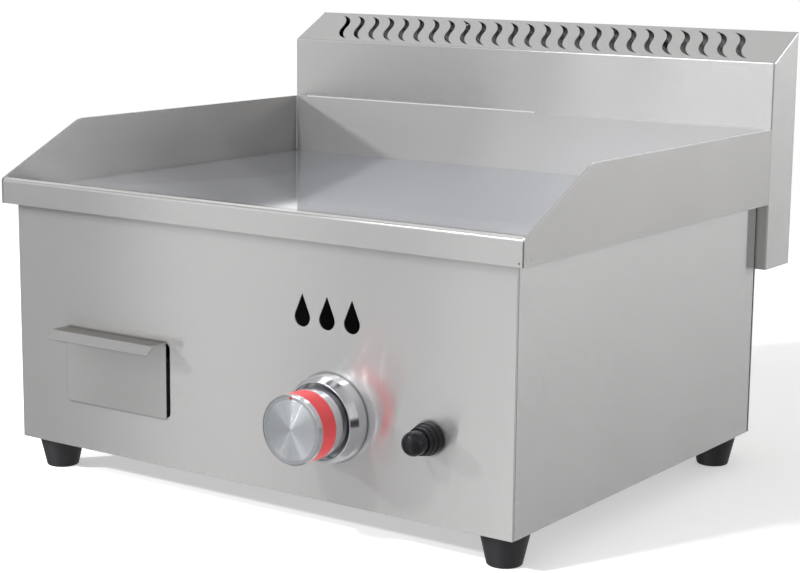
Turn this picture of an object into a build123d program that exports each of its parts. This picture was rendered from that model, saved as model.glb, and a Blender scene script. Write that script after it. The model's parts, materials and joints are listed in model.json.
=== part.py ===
from build123d import *
import os
from math import acos, atan2, cos, radians, sin, sqrt

# A gas countertop griddle with a flue at the rear and a grease drawer at the front.
# Millimetres, +Z up, the front faces -Y, and the feet stand on Z = 0.

# Sheet metal
body_sheet = 1.2
top_sheet = 1.5
flue_sheet = 1.0
tray_sheet = 1.0
shield_sheet = 1.0
bar_sheet = 2.0
bend = 2.5

# Body
rim_width = 500.0
rim_depth = 389.5
body_height = 196.4
body_inset = 9.6
panel_setback = 8.1
panel_flange = 14.0
shelf_width = 32.0
edge_round = 0.6
vent_length = 60.0
vent_width = 6.0
vent_pitch_x = 90.0
vent_pitch_y = 60.0
vent_columns = 3
vent_rows = 4
vent_x = 60.0
vent_y = 20.0

# Rim, gutter and plate
rim_height = 20.0
ledge_depth = 11.0
lip_bend = 2.4
gutter_depth = 28.0
gutter_width = 43.0
plate_overhang = 4.0
plate_thickness = 10.0
plate_edge_round = 3.0
gutter_flange = 20.0

# Splash guards
splash_rise = 42.7
splash_ramp = 90.0
splash_round = 20.0
splash_toe_round = 3.0

# Flue
flue_depth = 45.0
flue_front_rise = 97.6
flue_rear_rise = 121.4
flue_skirt = 55.4
flue_flange = 14.0
flue_round = 1.6
port_margin = 50.0
port_height = 36.0
port_corner = 6.0
slot_count = 25
slot_margin = 41.7
slot_half_width = 2.7
slot_reach = 14.5
slot_rise = 20.2

# Feet
foot_height = 26.0
foot_top_radius = 19.0
foot_low_radius = 13.0
foot_inset_x = 21.0
foot_inset_y = 24.0
foot_recess_radius = 7.0
foot_recess_depth = 12.0
foot_round = 1.5

# Fasteners
foot_screw_radius = 2.5
foot_screw_head_radius = 5.0
foot_screw_head_height = 3.5
foot_nut_width = 8.0
foot_nut_height = 4.0
sheet_screw_radius = 1.75
sheet_screw_head_radius = 3.5
sheet_screw_head_height = 2.0
sheet_screw_length = 6.0
hole_clearance = 0.2
thread_clearance = 0.05

# Grease drawer
drawer_aside = 109.5
drawer_low = 40.0
opening_width = 109.0
opening_height = 59.5
opening_corner = 4.0
drawer_gap = 3.0
drawer_lap = 1.0
drawer_corner = 3.0
handle_reach = 16.5
handle_lip = 9.5
handle_lip_angle = 45.0
handle_corner = 4.0
tray_width = 97.0
tray_length = 235.0
tray_height = 44.0
tray_lift = 3.6
runner_ledge = 12.0
runner_guide = 8.0
runner_foot = 14.0
slide_clearance = 0.2
spout_radius = 13.0
spout_flange = 6.0
spout_gap = 3.0
spout_back = 21.0

# Teardrop lighting holes
drop_count = 3
drop_shift = 4.6
drop_pitch = 22.8
drop_radius = 7.2
drop_tip = 18.0
drop_height = 137.5

# Knob and bezel, measured from the front panel's outer face
knob_aside = 158.4
knob_height = 65.5
knob_radius = 26.0
knob_reach = 49.0
knob_tail = 12.0
knob_wall = 2.5
knob_web = 4.0
knob_bevel = 0.6
ring_start = 28.5
ring_end = 44.0
ring_thickness = 0.8
face_radius = 25.2
face_thickness = 1.2
face_edge = 0.2
spun_radius = 22.6
spun_rise = 0.25
hub_radius = 8.0
hub_tail = 14.0
dot_radius = 1.05
dot_offset = 23.8
dot_depth = 0.4
bezel_radius = 33.2
bezel_shoulder_radius = 32.8
bezel_shoulder = 10.0
bezel_rim = 30.0
bezel_length = 17.2
bezel_wall = 1.2

# Gas valve, behind the panel
stem_radius = 4.0
stem_hole_clearance = 1.5
stem_flat = 2.8
stem_seat = 40.0
shoulder_radius = 7.5
shoulder_length = 2.0
blade_width = 4.0
blade_height = 11.6
blade_length = 13.0
push_travel = 4.0
running_clearance = 0.05
bonnet_length = 44.0
bonnet_width = 26.0
bonnet_thickness = 4.0
bonnet_screw_spacing = 34.0
bonnet_screw_radius = 1.9
bonnet_screw_length = 5.0
bonnet_screw_head_radius = 3.6
bonnet_screw_head_height = 2.4
valve_radius = 13.0
valve_length = 40.0
chamber_radius = 9.0
chamber_length = 30.0
plug_length = 19.5
blade_seat = 8.0
gas_port_radius = 2.5
boss_radius = 8.0
boss_drop = 24.0
boss_back = 20.0
boss_socket = 8.0
nose_radius = 7.0
nose_length = 8.0
injector_width = 10.0
injector_hex = 5.0
injector_tip_radius = 3.0
injector_tip = 8.0
injector_shank = 7.0
injector_shank_radius = 3.5
orifice_radius = 0.75

# Gas supply
pipe_radius = 5.0
pipe_wall = 1.0
pipe_bend = 18.0
pipe_aside = 34.2
pipe_height = 22.0
inlet_thread_radius = 10.4775
inlet_thread_length = 24.0
inlet_bore = 6.0
inlet_flange_radius = 15.0
inlet_flange_thickness = 4.0
inlet_socket_radius = 9.0
inlet_socket_length = 20.0
inlet_chamfer = 1.2
inlet_relief = 1.0
inlet_nut_width = 27.0
inlet_nut_height = 5.0

# Burner
burner_aside = 119.2
burner_start = 72.0
burner_end = 330.0
burner_cross = 200.0
tube_radius = 14.0
tube_wall = 1.5
tube_clearance = 0.1
shield_clearance = 18.0
burner_above_shield = 34.3
riser_bend = 30.0
burner_port_count = 14
burner_port_width = 2.0
burner_port_length = 12.0
bar_flange = 16.0
bar_front = 98.0
bar_rear = 305.0
notch_clearance = 0.3
mixer_gap = 4.0
shutter_length = 20.0
shutter_wall = 1.0
shutter_hole_radius = 2.4
shutter_hole_circle = 10.0
shutter_hole_count = 6

# Igniter, measured from the front panel's outer face
igniter_aside = 70.4
igniter_height = 64.0
button_radius = 9.0
button_reach = 28.5
button_dome = 8.0
button_tail = 14.0
button_travel = 6.0
button_clearance = 0.1
neck_radius = 9.9
neck_reach = 9.0
spring_room = 10.0
nut_radius = 12.1
nut_reach = 14.5
igniter_flange_radius = 15.0
igniter_flange = 3.0
igniter_radius = 10.5
igniter_length = 52.0
terminal_radius = 2.5
terminal_length = 8.0

# Ignition electrode and lead
ceramic_radius = 4.0
ceramic_collar_radius = 6.0
ceramic_collar = 4.0
ceramic_above = 30.0
ceramic_below = 12.0
electrode_aside = 22.0
electrode_ahead = 14.0
electrode_wire = 1.2
spark_gap = 4.0
electrode_bend = 4.0
electrode_tip_reach = 15.0
bracket_width = 20.0
bracket_sheet = 1.5
bracket_height = 14.0
lead_radius = 1.9
lead_run = 26.0
lead_bend = 9.0

# Places along Y, from the knob's face at the front to the screw heads on the flue's back
front_reach = knob_reach - panel_setback
overall_depth = front_reach + rim_depth + flue_depth + sheet_screw_head_height
lip_y = front_reach - overall_depth / 2
panel_y = lip_y + panel_setback
panel_back = panel_y + body_sheet
gutter_front = lip_y + ledge_depth
gutter_rear = gutter_front + gutter_width
plate_front = gutter_rear - plate_overhang
rear_y = lip_y + rim_depth
rear_in = rear_y - top_sheet
rear_panel_y = rear_y - body_sheet
flue_y = rear_y + flue_depth
hood_rear = flue_y - flue_sheet

# Places along Z
z_body = foot_height
z_floor = z_body + 2 * body_sheet
z_rim = z_body + body_height
z_ledge = z_rim + rim_height
z_plate = z_rim + plate_thickness
z_gutter = z_plate - gutter_depth
z_splash = z_ledge + splash_rise
z_flue_low = z_rim - flue_skirt
z_flue_front = z_ledge + flue_front_rise
z_flue_rear = z_ledge + flue_rear_rise
z_port = z_rim - flue_skirt / 2
z_opening = z_body + drawer_low
z_drawer = z_opening - drawer_lap
z_drawer_top = z_opening + opening_height + drawer_lap
z_tray = z_drawer + tray_lift
z_tray_top = z_tray + tray_height
z_shield = z_tray_top + shield_clearance
z_burner = z_shield + burner_above_shield
z_knob = z_body + knob_height
z_igniter = z_body + igniter_height
z_pipe = z_body + pipe_height
z_drop = z_body + drop_height

# Places along X
rim_x = rim_width / 2
lip_x = rim_x - top_sheet
side_x = rim_x - body_inset
side_in = side_x - body_sheet
trough_x = side_in - hole_clearance
drawer_x = drawer_aside - side_x
knob_x = side_x - knob_aside
drop_x = knob_x - drop_shift
igniter_x = side_x - igniter_aside
pipe_x = side_in - pipe_aside
burner_x = side_in - burner_aside
port_width = rim_width - 2 * port_margin
slot_pitch = (rim_width - 2 * slot_margin) / (slot_count - 1)
foot_x = side_x - foot_inset_x
foot_front_y = panel_y + foot_inset_y
foot_rear_y = rear_y - foot_inset_y
foot_places = [
    ("front_left", -foot_x, foot_front_y),
    ("front_right", foot_x, foot_front_y),
    ("rear_left", -foot_x, foot_rear_y),
    ("rear_right", foot_x, foot_rear_y),
]

# Drawer and burner places
drawer_back = panel_y - slide_clearance
tray_back = drawer_back + tray_length
spout_y = gutter_front + spout_back
cross_y = lip_y + burner_cross
bar_front_y = lip_y + bar_front
bar_rear_y = lip_y + bar_rear
valve_start = -(body_sheet + bonnet_thickness)
valve_end = valve_start - valve_length
nose_end = valve_end - nose_length
injector_end = nose_end - injector_hex - injector_tip
mixer_start = injector_end + mixer_gap
boss_y = panel_y - valve_start + boss_back
electrode_x = burner_x + electrode_aside
electrode_y = bar_front_y - electrode_ahead


def block(x, y, z):
    """A box between a low and a high value along each axis."""
    spans = (x, y, z)
    middle = [(low + high) / 2 for low, high in spans]
    return Pos(*middle) * Box(*[high - low for low, high in spans])


def drawn_x(outline, low, high):
    """An outline in Y and Z, drawn out along X."""
    return extrude(Plane.YZ.offset(low) * outline, amount=high - low)


def drawn_y(outline, low, high):
    """An outline in X and Z, drawn out along Y."""
    return extrude(Plane.XZ.offset(-high) * outline, amount=high - low)


def drawn_z(outline, low, high):
    """An outline in X and Y, drawn out along Z."""
    return extrude(Plane.XY.offset(low) * outline, amount=high - low)


def bent(points, radii, thickness):
    """The section of a bent sheet that lies to the right of a path."""
    path = FilletPolyline(*points, radius=radii)
    return make_face(path.wire().offset_2d(thickness, kind=Kind.INTERSECTION, side=Side.RIGHT))


def polygon(points, radii=0):
    """A closed outline with a radius for all its corners, or one for each."""
    return make_face(FilletPolyline(*points, radius=radii, close=True))


def turned(outline, x, z, start=panel_y):
    """A turned piece on a front-to-back axis: outline in radius and distance in front of start."""
    plane = Plane(origin=(x, start, z), x_dir=(1, 0, 0), z_dir=(0, 0, -1))
    return revolve(plane * outline, axis=Axis((x, start, z), (0, -1, 0)))


def upright(outline, x, y, z):
    """A turned piece on a vertical axis: outline in radius and height over z."""
    plane = Plane(origin=(x, y, z), x_dir=(1, 0, 0), z_dir=(0, -1, 0))
    return revolve(plane * outline, axis=Axis((x, y, z), (0, 0, 1)))


def ring_outline(inner, outer, low, high, radii=0):
    """A rectangle in radius and length."""
    return polygon([(inner, low), (outer, low), (outer, high), (inner, high)], radii)


def rod_y(x, z, radius, low, high):
    """A round bar along Y."""
    return drawn_y(Pos(x, z) * Circle(radius), low, high)


def rod_x(y, z, radius, low, high):
    """A round bar along X."""
    return drawn_x(Pos(y, z) * Circle(radius), low, high)


def rod_z(x, y, radius, low, high):
    """A round bar along Z."""
    return drawn_z(Pos(x, y) * Circle(radius), low, high)


def swept(points, bends, radius):
    """A round bar along straight runs joined by tangent arcs."""
    path = FilletPolyline(*points, radius=bends).wire()
    start = Plane(origin=path @ 0, z_dir=path % 0)
    return sweep(start * Circle(radius), path=path)


def mirrored(shape):
    """The same piece on the other side of the middle plane."""
    return mirror(shape, about=Plane.YZ)


def teardrop():
    """A round hole drawn up to a point, with its round part about the origin."""
    turn = acos(drop_radius / drop_tip)
    touch_x = drop_radius * sin(turn)
    touch_z = drop_radius * cos(turn)
    round_part = ThreePointArc((-touch_x, touch_z), (0, -drop_radius), (touch_x, touch_z))
    sides = Polyline((touch_x, touch_z), (0, drop_tip), (-touch_x, touch_z))
    return make_face(round_part.edges() + sides.edges())


def drops():
    """The row of teardrop holes in the front panel."""
    row = GridLocations(drop_pitch, 0, drop_count, 1)
    middle = Pos(drop_x, z_drop)
    return Sketch() + [middle * place * teardrop() for place in row]


def front_panel():
    """The front sheet, with openings for the drawer, the knob, the igniter and a lighting taper."""
    sheet = block((-side_x, side_x), (panel_y, panel_back), (z_body, z_rim))
    corners = sheet.faces().sort_by(Axis.Y)[0].edges().filter_by(Axis.Z)
    sheet = fillet(corners, edge_round)
    opening = RectangleRounded(opening_width, opening_height, opening_corner)
    screws = GridLocations(bonnet_screw_spacing, 0, 2, 1)
    holes = drops()
    holes += Pos(drawer_x, z_opening + opening_height / 2) * opening
    holes += Pos(knob_x, z_knob) * Circle(stem_radius + stem_hole_clearance)
    holes += [Pos(knob_x, z_knob) * place * Circle(bonnet_screw_radius + hole_clearance) for place in screws]
    holes += Pos(igniter_x, z_igniter) * Circle(neck_radius + hole_clearance)
    return sheet - drawn_y(holes, panel_y - body_sheet, panel_back + body_sheet)


def foot_screw_holes(low, high):
    """Clearance for the four foot screws between two heights."""
    radius = foot_screw_radius + hole_clearance
    return [rod_z(x, y, radius, low, high) for _, x, y in foot_places]


def side_panel():
    """The right side sheet, with a front flange and shelves for the plate and the base."""
    path = [
        (side_x - panel_flange, rear_panel_y),
        (side_x, rear_panel_y),
        (side_x, panel_back),
        (side_x - panel_flange, panel_back),
    ]
    panel = drawn_z(bent(path, [bend, bend], body_sheet), z_body, z_rim)
    notch_low = z_gutter - top_sheet - hole_clearance
    panel -= block((side_x - panel_flange, side_in), (panel_back, panel_back + bend), (notch_low, z_rim))
    shelf = (side_in - shelf_width, side_in)
    top_start = gutter_rear + top_sheet + gutter_flange + hole_clearance
    panel += block(shelf, (top_start, rear_panel_y), (z_rim - body_sheet, z_rim))
    low_start = panel_back + body_sheet
    panel += block(shelf, (low_start, rear_panel_y), (z_body, z_body + body_sheet))
    panel -= screw_holes(rear_screw_places(), rear_panel_y - bend, rear_y)
    return panel - foot_screw_holes(z_body - body_sheet, z_floor)


def base_plate():
    """The floor sheet, with slots that let in air for the burner."""
    vent = SlotOverall(vent_length, vent_width)
    grid = GridLocations(vent_pitch_x, vent_pitch_y, vent_columns, vent_rows)
    vents = [Pos(vent_x, vent_y) * place * vent for place in grid]
    low = z_body + body_sheet
    sheet = block((-side_in, side_in), (panel_back + bend, rear_panel_y - bend), (low, z_floor))
    sheet -= drawn_z(Sketch() + vents, low - body_sheet, z_floor + body_sheet)
    return sheet - foot_screw_holes(low - body_sheet, z_floor + body_sheet)


def port_outline():
    """The exhaust port between the burner space and the flue."""
    return Pos(0, z_port) * RectangleRounded(port_width, port_height, port_corner)


def rear_screw_places():
    """X and Z of the screws along the rear panel's sides."""
    heights = [z_body + body_height * share for share in (0.1, 0.6)]
    return [(side * (side_in - panel_flange / 2), z) for side in (-1, 1) for z in heights]


def rear_panel_screws():
    """The screws that hold the rear panel to the side panels' flanges."""
    return Compound([sheet_screw(x, rear_y, z).solid() for x, z in rear_screw_places()])


def rear_panel():
    """The rear sheet, with the exhaust port and the gas inlet's hole."""
    sheet = block((-side_x, side_x), (rear_panel_y, rear_y), (z_body, z_rim))
    holes = port_outline() + Pos(pipe_x, z_pipe) * Circle(inlet_thread_radius + hole_clearance)
    sheet -= drawn_y(holes, rear_panel_y - body_sheet, rear_y + body_sheet)
    return sheet - screw_holes(rear_screw_places(), rear_panel_y - body_sheet, rear_y + body_sheet)


def front_rim():
    """The front lip, its ledge and the grease gutter, bent from one sheet, with the gutter's ends."""
    path = [
        (lip_y, z_rim),
        (lip_y, z_ledge),
        (gutter_front, z_ledge),
        (gutter_front, z_gutter),
        (gutter_rear, z_gutter),
        (gutter_rear, z_rim),
        (gutter_rear + top_sheet + gutter_flange, z_rim),
    ]
    rim = drawn_x(bent(path, [lip_bend, bend, bend, bend, bend], top_sheet), -lip_x, lip_x)
    trough_low = z_gutter - top_sheet
    trough_rear = gutter_rear + top_sheet + gutter_flange
    aside = block((trough_x, lip_x), (lip_y, trough_rear), (trough_low, z_rim))
    rim -= [aside, mirrored(aside)]
    trough_front = gutter_front - top_sheet
    end = block((trough_x - top_sheet, trough_x), (trough_front, gutter_rear + top_sheet), (trough_low, z_rim))
    step = (trough_x - top_sheet, lip_x)
    end += block(step, (trough_front, plate_front - hole_clearance), (z_rim, z_rim + top_sheet))
    rim += [end, mirrored(end)]
    return rim - rod_z(drawer_x, spout_y, spout_radius, trough_low - top_sheet, z_gutter + top_sheet)


def griddle_plate():
    """The thick polished cooking plate, with a rounded front edge over the gutter."""
    plate = block((-lip_x, lip_x), (plate_front, rear_in), (z_rim, z_plate))
    front_edge = plate.faces().sort_by(Axis.Z)[-1].edges().sort_by(Axis.Y)[0]
    return fillet(front_edge, plate_edge_round)


def side_splash():
    """The right guard, which ramps up from the lip."""
    outline = polygon(
        [
            (lip_y, z_rim),
            (lip_y, z_ledge),
            (lip_y + splash_ramp, z_splash),
            (rear_y, z_splash),
            (rear_y, z_rim),
        ],
        [0, splash_toe_round, splash_round, 0, 0],
    )
    return drawn_x(outline, lip_x, rim_x)


def rear_splash():
    """The guard along the plate's rear edge."""
    return block((-lip_x, lip_x), (rear_in, rear_y), (z_rim, z_splash))


def flue_slot():
    """A mirrored S with pointed ends, made of four arcs."""
    upper_tip = (-slot_reach, slot_rise)
    lower_tip = (slot_reach, -slot_rise)
    right = (slot_half_width, 0)
    left = (-slot_half_width, 0)
    arcs = [TangentArc(side, upper_tip, tangent=(0, 1)) for side in (right, left)]
    arcs += [TangentArc(side, lower_tip, tangent=(0, -1)) for side in (left, right)]
    return make_face([arc.edge() for arc in arcs])


def flue_section(inset):
    """The flue hood's section in Y and Z, drawn in by a wall."""
    run = hood_rear - rear_y
    rise = z_flue_rear - z_flue_front
    slope = rise / run
    drop = inset * sqrt(1 + slope * slope)
    front = rear_y + inset
    rear = hood_rear - inset
    low = z_flue_low + inset
    front_top = z_flue_front + slope * inset - drop
    rear_top = z_flue_rear - slope * inset - drop
    return polygon([(front, low), (front, front_top), (rear, rear_top), (rear, low)])


def flue_slope():
    """The plane of the hood's slanted top, at its middle."""
    run = hood_rear - rear_y
    rise = z_flue_rear - z_flue_front
    angle = atan2(rise, run)
    middle = (0, rear_y + run / 2, z_flue_front + rise / 2)
    return Plane(origin=middle, x_dir=(1, 0, 0), z_dir=(0, -sin(angle), cos(angle)))


def flue_screw_places():
    """X and Z of the screws round the flue's back cover."""
    side = rim_x - flue_flange / 2
    low = z_flue_low + flue_flange / 2
    high = z_flue_rear - flue_flange
    middle = (low + high) / 2
    third = rim_width / 4
    places = [(x, z) for x in (-side, side) for z in (low, middle, high)]
    return places + [(x, z) for x in (-third, third) for z in (low, high)]


def screw_holes(places, low, high):
    """Clearance holes for sheet screws along Y."""
    radius = sheet_screw_radius + hole_clearance
    return [rod_y(x, z, radius, low, high) for x, z in places]


def flue_hood():
    """The flue's hollow hood, slotted on top, open to the burner in front and to its cover behind."""
    hood = drawn_x(flue_section(0), -rim_x, rim_x)
    front = hood.faces().sort_by(Axis.Y)[0]
    top = hood.faces().sort_by(Axis.Z)[-1]
    bends = front.edges().sort_by(Axis.Z)[1:] + top.edges().sort_by(Axis.Y)[1:-1]
    hood = fillet(bends, flue_round)
    hood -= drawn_x(flue_section(flue_sheet), -rim_x + flue_sheet, rim_x - flue_sheet)
    window = rim_x - flue_flange
    window_top = z_flue_rear - 2 * flue_flange
    hood -= block((-window, window), (hood_rear - flue_flange, flue_y), (z_flue_low + flue_flange, window_top))
    hood -= drawn_y(port_outline(), rear_y - flue_sheet, rear_y + 2 * flue_sheet)
    slots = Sketch() + [place * flue_slot() for place in GridLocations(slot_pitch, 0, slot_count, 1)]
    hood -= extrude(flue_slope() * slots, amount=2 * flue_sheet, both=True)
    return hood - screw_holes(flue_screw_places(), hood_rear - 2 * flue_sheet, flue_y)


def flue_back():
    """The flat cover screwed to the back of the hood."""
    cover = block((-rim_x, rim_x), (hood_rear, flue_y), (z_flue_low, z_flue_rear))
    return cover - screw_holes(flue_screw_places(), hood_rear - flue_sheet, flue_y + flue_sheet)


def sheet_screw(x, y, z):
    """A pan-head screw whose head rests on a rear face at y."""
    head = polygon(
        [
            (0, 0),
            (sheet_screw_head_radius, 0),
            (sheet_screw_head_radius, -sheet_screw_head_height),
            (0, -sheet_screw_head_height),
        ],
        [0, 0, sheet_screw_head_height / 2, 0],
    )
    shank = ring_outline(0, sheet_screw_radius, 0, sheet_screw_length)
    return turned(head + shank, x, z, start=y)


def flue_screws():
    """The screws that hold the flue's cover."""
    return Compound([sheet_screw(x, flue_y, z).solid() for x, z in flue_screw_places()])


def drain_spout():
    """The pipe that leads grease from the gutter down to the drawer."""
    top = z_gutter - top_sheet
    length = top - z_tray_top - spout_gap
    outer = spout_radius + tray_sheet
    outline = polygon(
        [
            (spout_radius, -length),
            (outer, -length),
            (outer, -tray_sheet),
            (outer + spout_flange, -tray_sheet),
            (outer + spout_flange, 0),
            (spout_radius, 0),
        ]
    )
    return upright(outline, drawer_x, spout_y, top)


def drawer_front():
    """The drawer's front and its handle, bent from one sheet, with a gap at the right of it."""
    angle = radians(handle_lip_angle)
    bend_y = drawer_back - handle_reach
    path = [
        (bend_y - handle_lip * cos(angle), z_drawer_top - handle_lip * sin(angle)),
        (bend_y, z_drawer_top),
        (drawer_back, z_drawer_top),
        (drawer_back, z_drawer),
    ]
    left = drawer_x - opening_width / 2 - drawer_lap
    right = drawer_x + opening_width / 2 - drawer_gap
    front = drawn_x(bent(path, [bend, bend], body_sheet), left, right)
    low_corners = front.faces().sort_by(Axis.Z)[0].edges().filter_by(Axis.Y)
    front = fillet(low_corners, drawer_corner)
    lip_corners = front.faces().sort_by(Axis.Y)[0].edges().filter_by(Axis.X, reverse=True)
    return fillet(lip_corners, handle_corner)


def drawer_tray():
    """The open grease tray behind the drawer's front."""
    half = tray_width / 2
    x = (drawer_x - half, drawer_x + half)
    y = (drawer_back, tray_back)
    inner_x = (x[0] + tray_sheet, x[1] - tray_sheet)
    inner_y = (y[0] + tray_sheet, y[1] - tray_sheet)
    tray = block(x, y, (z_tray, z_tray_top))
    hollow = block(inner_x, inner_y, (z_tray + tray_sheet, z_tray_top + tray_sheet))
    tray = fillet(tray.edges().filter_by(Axis.Y).group_by(Axis.Z)[0], bend)
    return tray - fillet(hollow.edges().filter_by(Axis.Y).group_by(Axis.Z)[0], bend - tray_sheet)


def drawer_runner(side):
    """A bent rail on the base that carries one edge of the tray."""
    top = z_tray - slide_clearance
    guide = tray_width / 2 + slide_clearance
    web = guide - runner_ledge
    foot_top = z_floor + body_sheet
    path = [
        (web - runner_foot, foot_top),
        (web, foot_top),
        (web, top),
        (guide, top),
        (guide, top + runner_guide),
    ]
    section = bent(path, [bend, bend, bend / 2], body_sheet)
    rail = drawn_y(section, panel_back + body_sheet + bend, tray_back)
    if side < 0:
        rail = mirrored(rail)
    return Pos(drawer_x, 0, 0) * rail


def burner_tube():
    """The right-hand burner tube, closed at both ends, with a row of flame ports on top."""
    low = lip_y + burner_start
    high = lip_y + burner_end
    tube = rod_y(burner_x, z_burner, tube_radius, low, high)
    tube -= rod_y(burner_x, z_burner, tube_radius - tube_wall, low + tube_wall, high - tube_wall)
    tube -= rod_x(cross_y, z_burner, tube_radius - 2 * tube_wall, 0, burner_x)
    spacing = (high - low) / (burner_port_count + 1)
    port = Box(burner_port_length, burner_port_width, tube_radius)
    ports = GridLocations(0, spacing, 1, burner_port_count)
    middle = Pos(burner_x, (low + high) / 2, z_burner + tube_radius)
    return tube - [middle * place * port for place in ports]


def burner_cross_tube():
    """The tube that feeds both burner tubes, shaped to fit round them."""
    tube = rod_x(cross_y, z_burner, tube_radius, -burner_x, burner_x)
    tube -= rod_x(cross_y, z_burner, tube_radius - tube_wall, -burner_x, burner_x)
    seat = rod_y(burner_x, z_burner, tube_radius + tube_clearance, lip_y + burner_start, lip_y + burner_end)
    tube -= [seat, mirrored(seat)]
    return tube - rod_z(knob_x, cross_y, tube_radius - 2 * tube_wall, z_burner - 2 * tube_radius, z_burner)


def mixing_tube():
    """The tube that takes gas and air back from the injector and up to the cross tube."""
    start = panel_y - mixer_start
    path = [(knob_x, start, z_knob), (knob_x, cross_y, z_knob), (knob_x, cross_y, z_burner)]
    tube = swept(path, [riser_bend], tube_radius) - swept(path, [riser_bend], tube_radius - tube_wall)
    return tube - rod_x(cross_y, z_burner, tube_radius + tube_clearance, -burner_x, burner_x)


def air_shutter():
    """The cap on the mixing tube's mouth, with holes that let in air round the injector."""
    inner = tube_radius + tube_clearance
    outer = inner + shutter_wall
    front = mixer_start + shutter_wall
    hole = injector_tip_radius + 2 * shutter_wall
    outline = polygon(
        [
            (hole, front),
            (outer, front),
            (outer, front - shutter_length),
            (inner, front - shutter_length),
            (inner, mixer_start),
            (hole, mixer_start),
        ]
    )
    cap = turned(outline, knob_x, z_knob)
    ring = PolarLocations(shutter_hole_circle, shutter_hole_count)
    holes = Sketch() + [Pos(knob_x, z_knob) * place * Circle(shutter_hole_radius) for place in ring]
    return cap - drawn_y(holes, panel_y - front - shutter_wall, panel_y - mixer_start + shutter_wall)


def burner_bar(web_y, flange_y):
    """A bar across the body, with half-round seats for the burner tubes and a flange for the shield."""
    low = min(web_y, flange_y)
    high = max(web_y, flange_y)
    middle = (web_y - bar_sheet / 2, web_y + bar_sheet / 2)
    bar = block((-side_in, side_in), middle, (z_shield, z_burner))
    bar += block((-side_in, side_in), (low, high), (z_shield, z_shield + bar_sheet))
    seats = [rod_y(x, z_burner, tube_radius + notch_clearance, low - bar_sheet, high + bar_sheet)
             for x in (-burner_x, burner_x)]
    return bar - seats


def heat_shield():
    """The sheet under the burner that keeps its heat off the drawer and the valve."""
    y = (bar_front_y, bar_rear_y)
    sheet = block((-side_in + bend, side_in - bend), y, (z_shield - shield_sheet, z_shield))
    return sheet - rod_z(knob_x, cross_y, tube_radius + bar_sheet, z_shield - bend, z_shield + bend)


def bonnet_outline():
    """The bonnet's rounded flange in X and Z."""
    return Pos(knob_x, z_knob) * SlotOverall(bonnet_length, bonnet_width)


def bonnet_screw_xs():
    """X of the two screws that hold the valve to the front panel."""
    half = bonnet_screw_spacing / 2
    return (knob_x - half, knob_x + half)


def valve_bonnet():
    """The cover on the valve's front, screwed to the back of the front panel."""
    low = panel_back
    high = panel_back + bonnet_thickness
    bonnet = drawn_y(bonnet_outline(), low, high)
    bonnet -= rod_y(knob_x, z_knob, stem_radius + running_clearance, low - bend, high + bend)
    radius = bonnet_screw_radius + thread_clearance
    return bonnet - [rod_y(x, z_knob, radius, low - bend, high + bend) for x in bonnet_screw_xs()]


def bonnet_screws():
    """The two screws that hold the valve to the front panel."""
    head = polygon(
        [
            (0, 0),
            (bonnet_screw_head_radius, 0),
            (bonnet_screw_head_radius, bonnet_screw_head_height),
            (0, bonnet_screw_head_height),
        ],
        [0, 0, bonnet_screw_head_height / 2, 0],
    )
    outline = head + ring_outline(0, bonnet_screw_radius, -bonnet_screw_length, 0)
    return Compound([turned(outline, x, z_knob).solid() for x in bonnet_screw_xs()])


def valve_body():
    """The valve's brass body: a bored barrel with an inlet boss below and an outlet nose behind."""
    barrel = turned(ring_outline(0, valve_radius, valve_end, valve_start), knob_x, z_knob)
    barrel += turned(ring_outline(0, nose_radius, nose_end, valve_end), knob_x, z_knob)
    boss_low = z_knob - boss_drop
    barrel += rod_z(knob_x, boss_y, boss_radius, boss_low, z_knob)
    chamber_end = valve_start - chamber_length
    barrel -= turned(ring_outline(0, chamber_radius, chamber_end, valve_start), knob_x, z_knob)
    socket = injector_shank_radius + thread_clearance
    barrel -= turned(ring_outline(0, socket, nose_end, chamber_end), knob_x, z_knob)
    barrel -= rod_z(knob_x, boss_y, gas_port_radius, boss_low, z_knob)
    return barrel - rod_z(knob_x, boss_y, pipe_radius + thread_clearance, boss_low, boss_low + boss_socket)


def valve_plug():
    """The turning plug, slotted for the stem's blade, with a gas way through it."""
    end = valve_start - chamber_length + slide_clearance
    front = end + plug_length
    plug = turned(ring_outline(0, chamber_radius - running_clearance, end, front), knob_x, z_knob)
    half_width = blade_width / 2 + running_clearance
    half_height = blade_height / 2 + running_clearance
    slot_y = (panel_y - front, panel_y - front + blade_seat + push_travel)
    plug -= block((knob_x - half_width, knob_x + half_width), slot_y,
                  (z_knob - half_height, z_knob + half_height))
    rear = panel_y - end
    plug -= rod_y(knob_x, z_knob, gas_port_radius, rear - gas_port_radius * 2, rear)
    return plug - rod_x(rear - gas_port_radius * 2, z_knob, gas_port_radius / 2, knob_x, knob_x + chamber_radius)


def valve_stem():
    """The stem that the knob turns and pushes: a flatted shaft, a shoulder and a blade."""
    shoulder = valve_start - slide_clearance - running_clearance
    blade_start = shoulder - shoulder_length
    shaft = turned(ring_outline(0, stem_radius, shoulder, stem_seat), knob_x, z_knob)
    flat_y = (panel_y - stem_seat, panel_y - hub_tail)
    shaft -= block((knob_x - stem_radius, knob_x + stem_radius), flat_y,
                   (z_knob + stem_flat, z_knob + stem_radius))
    shaft += turned(ring_outline(0, shoulder_radius, blade_start, shoulder), knob_x, z_knob)
    half_width = blade_width / 2
    half_height = blade_height / 2
    blade_y = (panel_y - blade_start, panel_y - blade_start + blade_length)
    return shaft + block((knob_x - half_width, knob_x + half_width), blade_y,
                         (z_knob - half_height, z_knob + half_height))


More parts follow.
